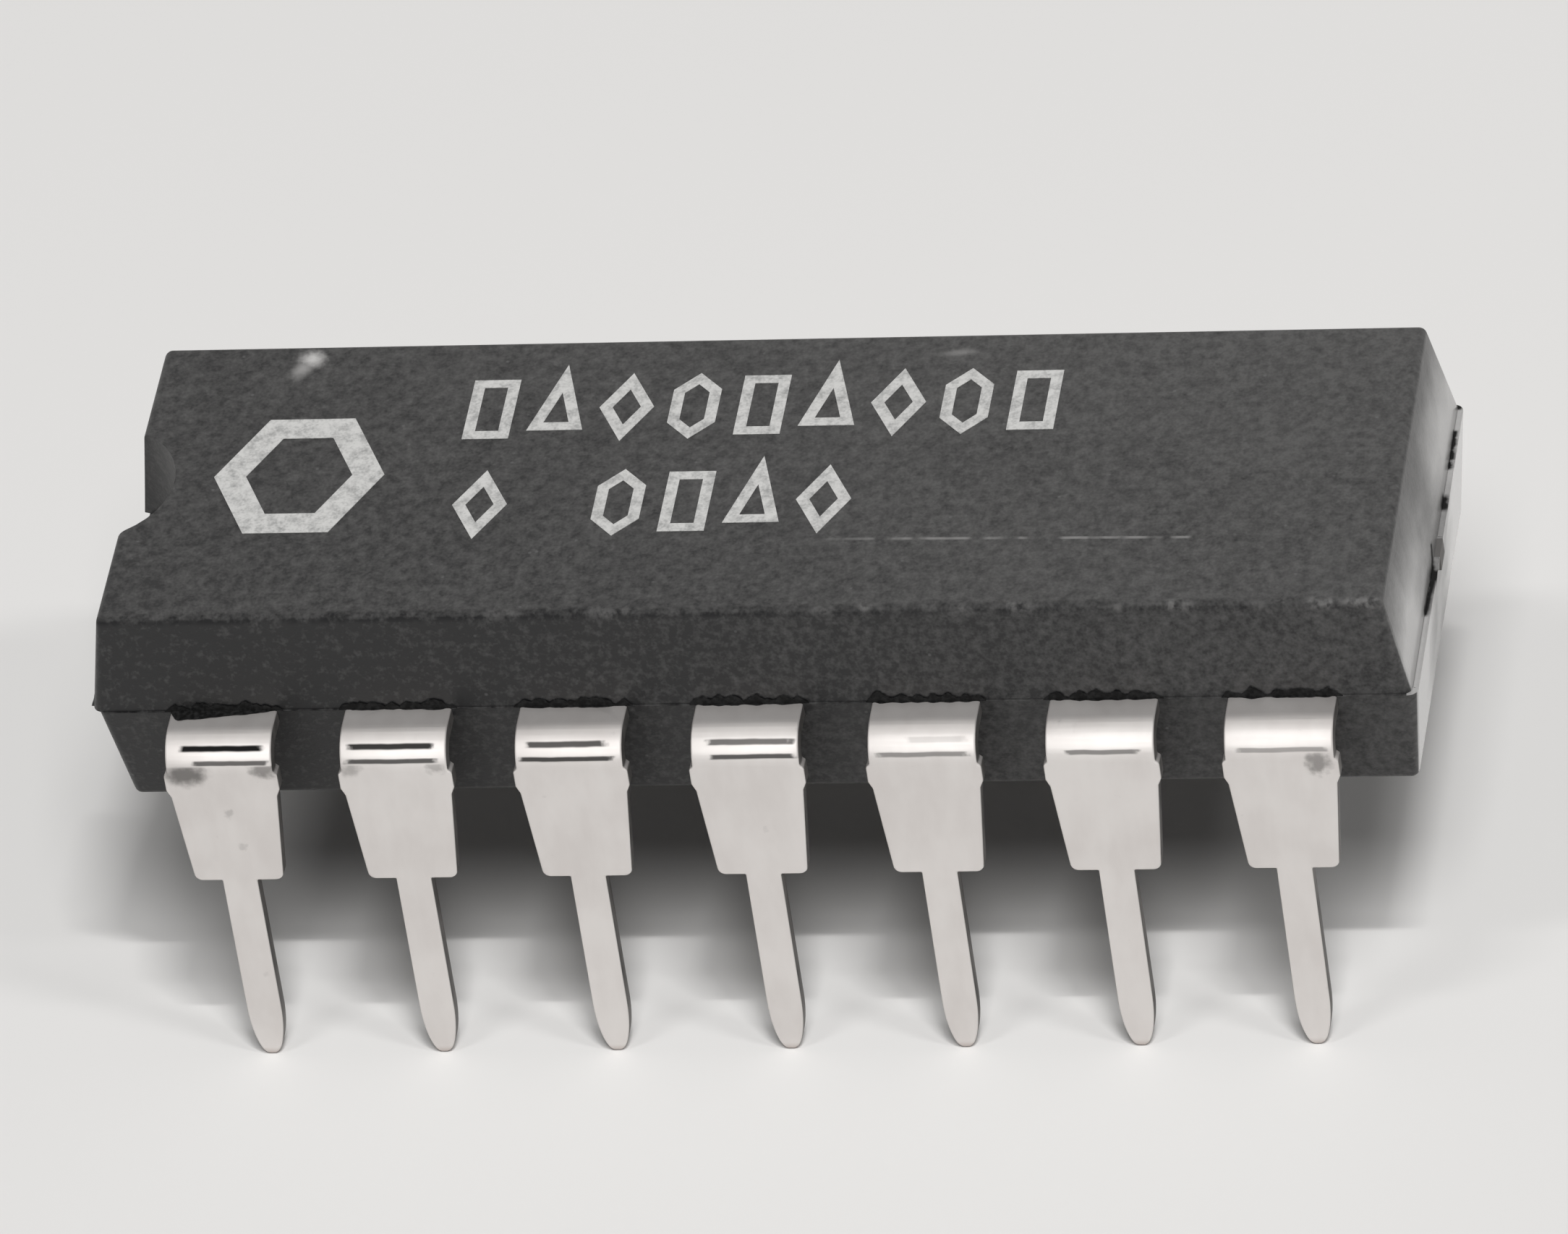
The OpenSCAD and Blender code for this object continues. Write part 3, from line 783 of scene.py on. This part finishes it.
def photo_camera():
    """The camera that the photograph was taken with."""
    forward = Vector((-math.sin(AZIMUTH) * math.cos(ELEVATION), math.cos(AZIMUTH) * math.cos(ELEVATION),
                      -math.sin(ELEVATION)))
    right = Vector((math.cos(AZIMUTH), math.sin(AZIMUTH), 0))
    up = right.cross(forward)
    shown = Vector((ORIGIN_PX[0] - IMAGE_W / 2, IMAGE_H / 2 - ORIGIN_PX[1]))
    level = Matrix.Rotation(-ROLL, 2) @ shown * (ORIGIN_DEPTH / FOCAL_PX)
    data = bpy.data.cameras.new("photo_camera")
    data.sensor_width = SENSOR
    data.lens = FOCAL_PX / IMAGE_W * SENSOR
    data.clip_start, data.clip_end = CLIP
    camera = new_object("photo_camera", data)
    side = math.cos(ROLL) * right - math.sin(ROLL) * up
    head = math.sin(ROLL) * right + math.cos(ROLL) * up
    turn = Matrix((side, head, -forward)).transposed().to_4x4()
    place = -(level.x * right + level.y * up + ORIGIN_DEPTH * forward)
    camera.matrix_world = Matrix.Translation(place) @ turn
    bpy.context.scene.camera = camera


def plate(name, corners, material):
    bm = bmesh.new()
    bm.faces.new([bm.verts.new(c) for c in corners])
    made = new_object(name, mesh_from(bm, name, material))
    return made


def pale_floor():
    w = FLOOR_HALF
    plate("floor", [(-w, -w, 0), (w, -w, 0), (w, w, 0), (-w, w, 0)], floor_finish())


def lamp(name, place, size, power):
    """A soft rectangular lamp that points at the chip, its long side along X."""
    data = bpy.data.lights.new(name, "AREA")
    data.shape = "RECTANGLE"
    data.size, data.size_y = size
    data.energy = power
    made = new_object(name, data)
    towards = (Vector(LAMP_AIM) - Vector(place)).normalized()
    along = (Vector((1, 0, 0)) - towards * towards.x).normalized()
    across = (-towards).cross(along)
    turn = Matrix((along, across, -towards)).transposed().to_4x4()
    made.matrix_world = Matrix.Translation(place) @ turn
    made.visible_camera = False
    return made


def horizon_band():
    """A dark band low round the stage, which draws the horizon in bright metal."""
    paint = Paint("dark_band")
    material = paint.finish(BAND_BLACK, Roughness=0.9)
    bm = bmesh.new()
    low = [bm.verts.new((BAND_RADIUS * math.cos(a), BAND_RADIUS * math.sin(a), BAND_LOW))
           for a in BAND_TURNS]
    high = [bm.verts.new((v.co.x, v.co.y, BAND_HIGH)) for v in low]
    for i in range(len(low)):
        j = (i + 1) % len(low)
        bm.faces.new((low[i], low[j], high[j], high[i]))
    band = new_object("horizon_band", mesh_from(bm, "horizon_band", material))
    band.visible_camera = False
    band.visible_shadow = False


def soft_world():
    """Even pale surroundings: the eye, metal and gloss see the background, and matt faces a softer level."""
    world = bpy.data.worlds.new("pale_room")
    world.use_nodes = True
    bpy.context.scene.world = world
    tree = Tree(world.node_tree)
    path = tree.node("ShaderNodeLightPath", out="Is Camera Ray")
    glossy, through = tree.outputs(path, "Is Glossy Ray", "Is Transmission Ray")
    seen = (path + glossy + through).clip()
    shown = tree.node("ShaderNodeBackground", (*BACKGROUND, 1.0), 1.0)
    light = tree.node("ShaderNodeBackground", (0.98, 0.99, 1.0, 1.0), WORLD_LEVEL)
    tree.node("ShaderNodeOutputWorld", tree.node("ShaderNodeMixShader", seen, light, shown))


# Values of the marks, in millimetres, found by sighting the photograph's pixels onto the part
EDGE_FRONT_Y = 3.0
EDGE_CHIPS = (-6.6, 5.46)
CHIP_REACH = 0.09
NICK_HEAD = (-7.03, 2.7)
NICK_TAIL = (-7.14, 2.5)
NICK_TURN = math.radians(62)
# Dents in the plain end, painted dark as their shade: from, to and half width
END_DENTS = (
    ((9.47, 3.12, 5.53), (9.47, 3.06, 5.53), 0.08), ((9.465, 2.5, 5.53), (9.475, 1.75, 5.53), 0.085),
    ((9.48, 1.05, 5.54), (9.48, 0.87, 5.54), 0.13), ((9.43, -0.16, 5.69), (9.45, -0.32, 5.58), 0.08),
    ((9.45, -0.34, 5.57), (9.5, -0.6, 5.53), 0.08), ((9.51, -0.58, 5.53), (9.51, -0.66, 5.53), 0.17),
    ((9.49, -0.74, 5.53), (9.465, -1.12, 5.54), 0.08), ((9.465, -1.12, 5.54), (9.46, -1.42, 5.55), 0.095),
)
SMEAR = (2.47, 2.59)
SCRATCH_START, SCRATCH_END = 0.3, 6.36
SCRATCH_Y, SCRATCH_SLOPE = -1.455, -0.016
# Smudges on the leads: X, Z, reach, narrowness up and down, and depth
SMUDGES = ((-8.12, 5.05, 0.42, 1.6, 0.8), (-6.97, 5.14, 0.26, 1.0, 0.65), (8.16, 5.03, 0.23, 0.8, 0.6),
           (-5.72, 5.12, 0.2, 1.2, 0.4), (-4.48, 5.14, 0.18, 1.0, 0.4),
           (-7.6, 4.35, 0.1, 1.0, 0.25), (-7.5, 3.75, 0.08, 1.0, 0.2))

# Length over which a painted reflection line on a bend fades at its ends
LINE_FADE = 0.12
# Painted reflection lines on the bends: angle up the bend and half width in degrees, then runs along X with
# their strength
REFLECTION_LINES = (
    (49.0, 6.8, ((-8.2, -6.95, 1.0), (-5.76, -4.42, 0.95), (-3.2, -1.95, 0.85), (-0.6, 0.75, 0.75),
                 (2.3, 3.2, 0.2))),
    (24.0, 5.6, ((-8.02, -6.85, 0.8), (-5.8, -4.42, 0.85), (-3.25, -1.85, 0.9), (-0.55, 0.8, 0.85),
                 (1.85, 3.25, 0.6), (4.55, 5.7, 0.65), (6.95, 8.35, 0.5))),
)

PITCH = 2.54 * MM
SIDE_DRAFT = 5.0
SEAM_ROOT = 0.02 * MM
SEAM_POINTS = 34
SEAM_WELD = 0.0001 * MM
BEND_OUT = HALF_WIDTH + 0.33 * MM
BEND_AXIS = PARTING - BEND_INNER - STRIP
BEND_LOW = BEND_AXIS + 0.17 * MM
EXIT_Y = 3.15 * MM
ROW_LEADS = 7
FIRST_X = -3 * PITCH

# Dark strips at the leads: the resin film on each, the seam of painted shade above each, and the slanted
# film on the first
FILM_TUCK = 0.01 * MM
FILM_WIDTH = 1.5 * MM
FILM_REACH = 0.05 * MM
FILM_THICK = 0.008 * MM
SEAM_WIDTH = 1.72 * MM
SEAM_REACH = 0.17 * MM
SEAM_THICK = 0.01 * MM
SLANTED_LIFT = 0.004 * MM
SLANTED_WIDTH = 1.56 * MM
SLANTED_REACH = 0.03 * MM
SLANT = 0.2 * MM

INK = 0.009 * MM
INK_SUNK = 0.001 * MM
PRINT_STROKE = 0.17 * MM
PRINT_PITCH = 0.99 * MM
# The shapes of a row: corners, turn, width and height in millimetres
ROW_SHAPES = ((4, math.pi / 4, 0.68, 1.3), (3, math.pi / 2, 0.82, 1.45), (4, 0.0, 0.8, 1.5),
              (6, math.pi / 2, 0.7, 1.45))
PRINT_ROWS = (("print_row_upper", 9, 0, -4.2, 1.5), ("print_row_lower", 4, 3, -2.03, -0.6),
              ("print_mark_lower", 1, 2, -4.05, -0.6))
EMBLEM_AT = (-6.8, 0.1)
EMBLEM_SIZE = (2.5 * MM, 2.5 * MM)
EMBLEM_STROKE = 0.42 * MM

# The fin: step along it, reach, root and half thickness in millimetres, and its noise
FIN_STEP = 0.06
FIN_REACH = 0.05
FIN_ROOT = 0.03
FIN_THICK = 0.008
FIN_SEED = 7
FIN_ROUGH_SCALE = 900
FIN_PATCH_SCALE = 260
FIN_PATCH_AT = (5, 3, 1)
FIN_Z = PARTING / MM
FIN_RUNS = (
    ((9.5, -3.0, FIN_Z), (9.5, -0.24, FIN_Z), (1, 0, 0)),
    ((9.5, 0.24, FIN_Z), (9.5, 3.0, FIN_Z), (1, 0, 0)),
    ((-9.54, 3.0, FIN_Z), (-9.54, 1.4, FIN_Z), (-1, 0, 0)),
    ((-9.54, -1.4, FIN_Z), (-9.54, -3.0, FIN_Z), (-1, 0, 0)),
)

FLOOR_HALF = 3.0
FLOOR_COLOUR = (0.76, 0.75, 0.737)
WORLD_LEVEL = 0.05
# Lamps that cast the shadows of the photograph: name, place, size and power. Gloss does not show them.
LAMPS = (
    ("strip_lamp", (0.123, -0.16, 0.6), (0.102, 0.014), 1.28),
    ("softbox", (0.152, -0.45, 0.8), (0.336, 0.3), 4.55),
    ("left_lamp", (-0.2, -0.16, 0.6), (0.15, 0.05), 0.45),
    ("right_lamp", (0.48, -0.17, 0.6), (0.2, 0.05), 0.82),
)
LAMP_AIM = (0, 0, 0.005)
# A large soft card that only gloss shows
SHINE_CARD = ("shine_card", (-0.12, -0.72, 0.62), (1.1, 1.05), 3.7)
BAND_RADIUS = 2.0
BAND_LOW, BAND_HIGH = -0.01, 0.09
BAND_TURNS = [2 * math.pi * i / 48 for i in range(48)]


# Making

photo_camera()
pale_floor()
horizon_band()
soft_world()
for lamp_values in LAMPS:
    lamp(*lamp_values).visible_glossy = False
lamp(*SHINE_CARD).visible_diffuse = False

black = moulding_compound()
tin = tin_plating()
moulding(black)
for lead_name in LEADS:
    formed_lead(lead_name, tin)
for node_name, finish in (("die_pad", frame_metal()), ("die_attach", silver_adhesive()),
                          ("silicon_die", chip_face())):
    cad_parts[node_name].material_slots[0].material = finish
gold_wire = gold()
for node_name in WIRES:
    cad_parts[node_name].material_slots[0].material = gold_wire
print_marks(white_ink())
parting_fin(black)
lead_seams(seam_resin())

view = bpy.context.scene.view_settings
view.view_transform = "Standard"
